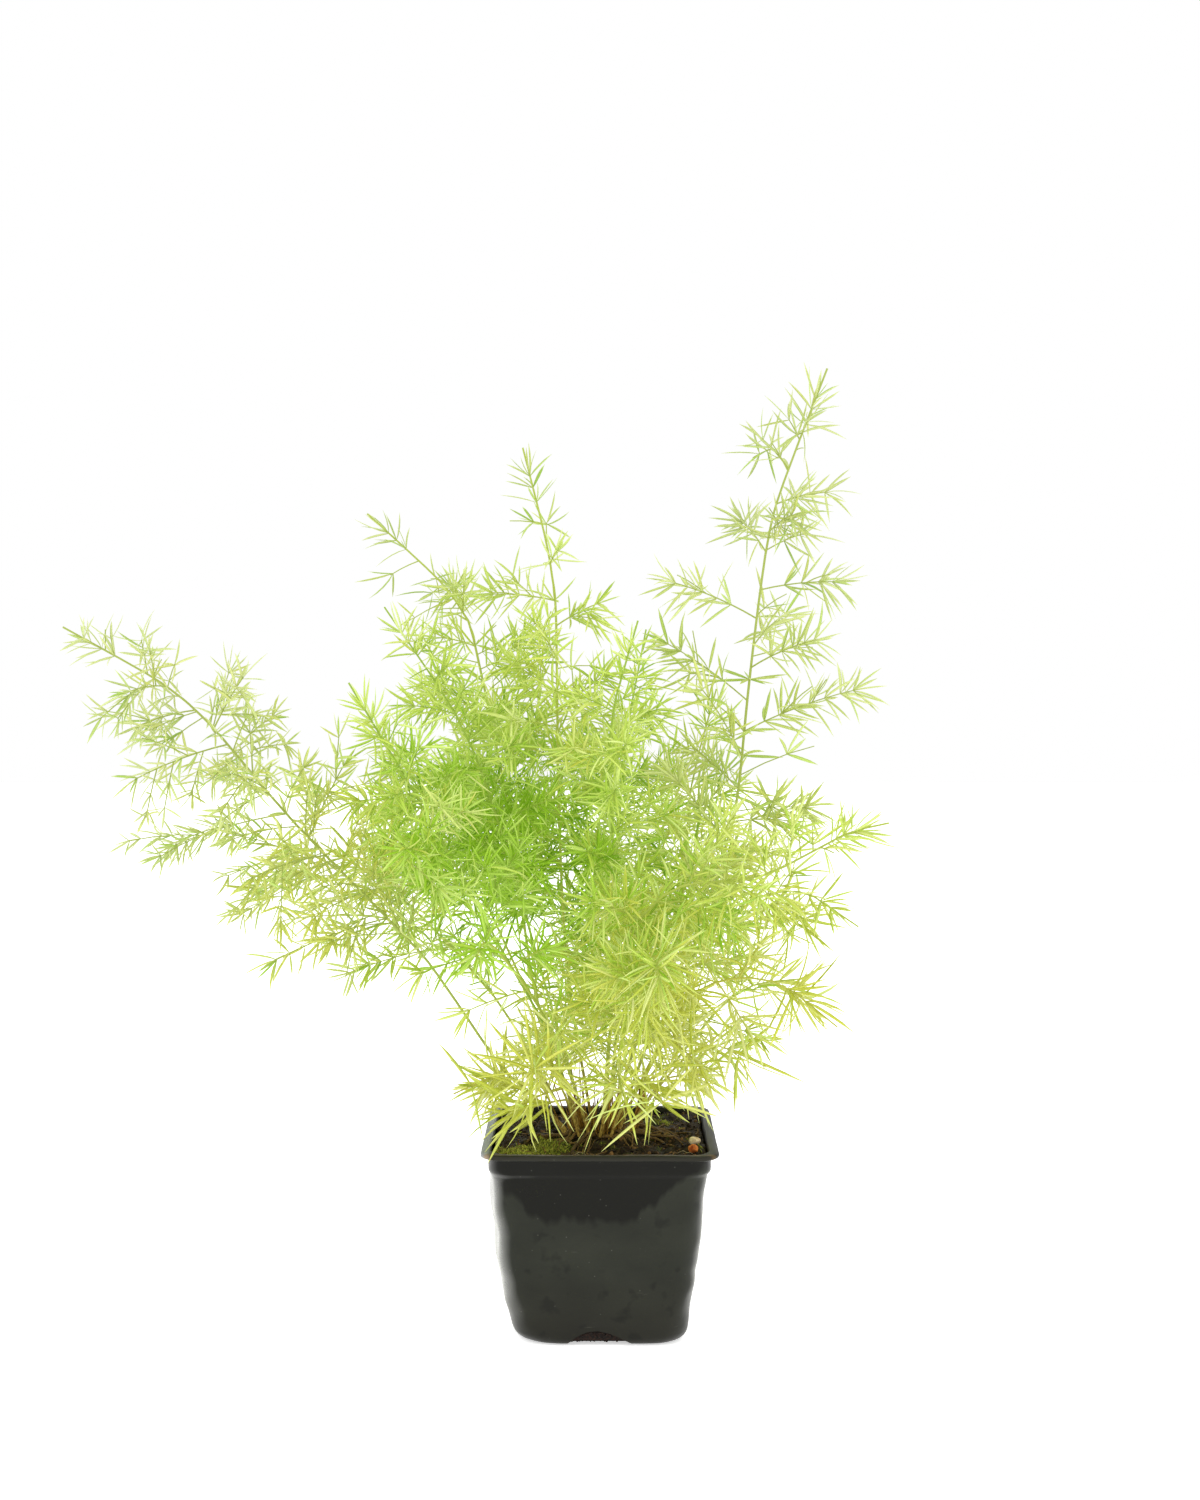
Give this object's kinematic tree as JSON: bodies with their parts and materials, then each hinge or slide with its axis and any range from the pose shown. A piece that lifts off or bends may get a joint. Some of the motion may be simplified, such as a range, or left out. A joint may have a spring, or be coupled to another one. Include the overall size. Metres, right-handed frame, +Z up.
{
  "type": "potted sprengeri asparagus fern",
  "caption": "Potted sprengeri asparagus fern: arching stems with sprays of fine needle leaves, rising from soil in a square tapered nursery pot.",
  "frame": {"origin": "middle of the pot's flat base, on the surface that the pot stands on", "axes": "+Z up along the pot's middle, -Y towards the viewer of the front, +X to the viewer's right, square with the pot's sides"},
  "size_m": [0.3496, 0.2295, 0.4177],
  "materials": {
    "pot_plastic": "thin black injection-moulded plastic, satin with a glossy upper third, lightly scuffed",
    "potting_soil": "moist dark brown peat compost, matte, crumbly",
    "foliage_pale": "pale yellow-green needle leaves, soft sheen, translucent",
    "foliage_fresh": "fresh light green needle leaves, soft sheen, translucent",
    "foliage_deep": "mid green needle leaves, soft sheen, translucent",
    "foliage_young": "yellow-green young needle leaves, soft sheen, translucent",
    "dead_stem": "dry brown cut stem, matte",
    "clay_pale": "pale tan clay grain, matte",
    "clay_rust": "rust-orange clay grain, matte"
  },
  "bodies": {
    "root": {"pot": "pot_plastic", "soil": "potting_soil", "shoot_left_arch": "foliage_pale", "shoot_left_low": "foliage_fresh", "shoot_left_mid": "foliage_deep", "shoot_left_peak": "foliage_fresh", "shoot_centre_left": "foliage_deep", "shoot_centre_peak": "foliage_fresh", "shoot_tall_right": "foliage_pale", "shoot_right_arch": "foliage_fresh", "shoot_right_fan": "foliage_fresh", "shoot_right_low": "foliage_young", "shoot_right_mid": "foliage_fresh", "shoot_right_back": "foliage_fresh", "shoot_back_centre": "foliage_deep", "shoot_back_left": "foliage_fresh", "shoot_inner_right": "foliage_deep", "shoot_front_tuft": "foliage_fresh", "shoot_front_centre": "foliage_fresh", "shoot_low_rosette": "foliage_young", "shoot_low_left": "foliage_young", "shoot_front_star": "foliage_young", "shoot_right_front": "foliage_young", "old_stub_back": "dead_stem", "old_stub_right": "dead_stem", "clay_grain_pale": "clay_pale", "clay_grain_rust": "clay_rust"}
  },
  "joints": []
}
